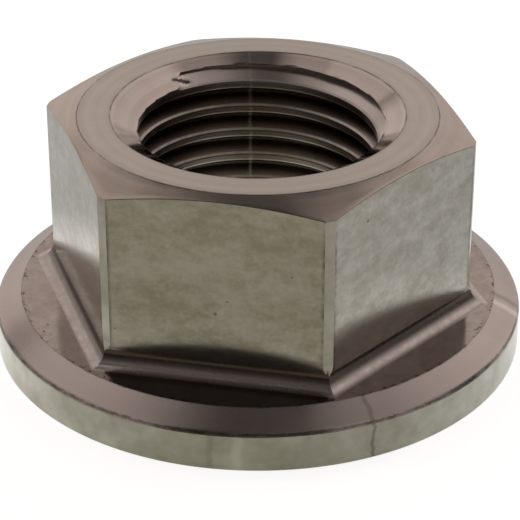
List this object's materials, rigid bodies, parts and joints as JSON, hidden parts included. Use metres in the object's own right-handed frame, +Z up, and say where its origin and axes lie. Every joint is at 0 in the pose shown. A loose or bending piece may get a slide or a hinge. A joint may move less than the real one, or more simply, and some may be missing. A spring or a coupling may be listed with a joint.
{
  "type": "flanged sprocket nut",
  "caption": "Hexagon nut with a wide integral flange, a countersunk threaded bore and a flat bearing face, for clamping a sprocket onto its carrier.",
  "frame": {"origin": "centre of the round bearing face, on the axis of the bore", "axes": "+Z up the bore from the bearing face to the top of the hexagon; one wrench flat faces -Y and its opposite faces +Y; +X to the right, towards a corner"},
  "size_m": [0.024, 0.024, 0.011],
  "materials": {
    "metal": "bare machined metal: turned upper faces with fine rings, milled wrench flats"
  },
  "bodies": {
    "root": {"nut": "metal"}
  },
  "joints": []
}
